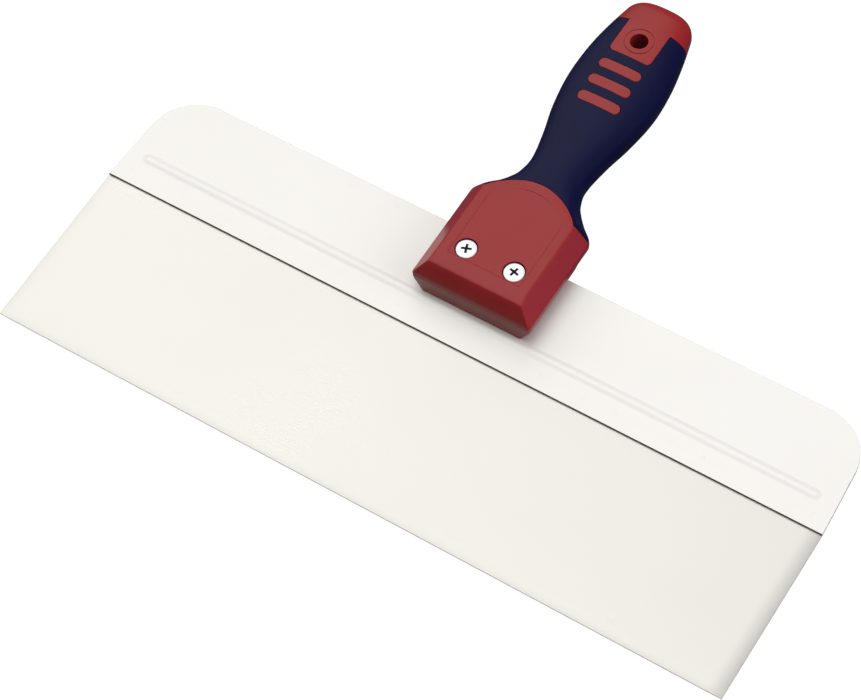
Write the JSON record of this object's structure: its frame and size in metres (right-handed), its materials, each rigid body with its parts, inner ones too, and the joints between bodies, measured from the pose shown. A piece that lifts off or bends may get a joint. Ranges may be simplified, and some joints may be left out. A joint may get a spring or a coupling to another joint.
{
  "type": "drywall taping knife",
  "caption": "Wide straight steel taping blade with a beaded backing plate, clamped in a red and navy two-shot plastic handle with a hang hole.",
  "frame": {"origin": "bottom centre of the whole knife as it lies on the back of its handle head, screw side up", "axes": "+X across the blade's width, +Y from the working edge up the handle to the butt, +Z out of the screw side of the blade"},
  "size_m": [0.3048, 0.2286, 0.0269],
  "materials": {
    "blade_steel": "bright rolled spring steel",
    "plate_steel": "bright polished",
    "red_plastic": "semi-gloss moulded",
    "navy_rubber": "satin soft grip",
    "nickel": "bright nickel plate"
  },
  "bodies": {
    "root": {"blade": "blade_steel", "backing_plate": "plate_steel", "handle_core": "red_plastic", "grip_sleeve": "navy_rubber", "clamp_screw_left": "nickel", "clamp_screw_right": "nickel", "barrel_nut_left": "nickel", "barrel_nut_right": "nickel"}
  },
  "joints": []
}
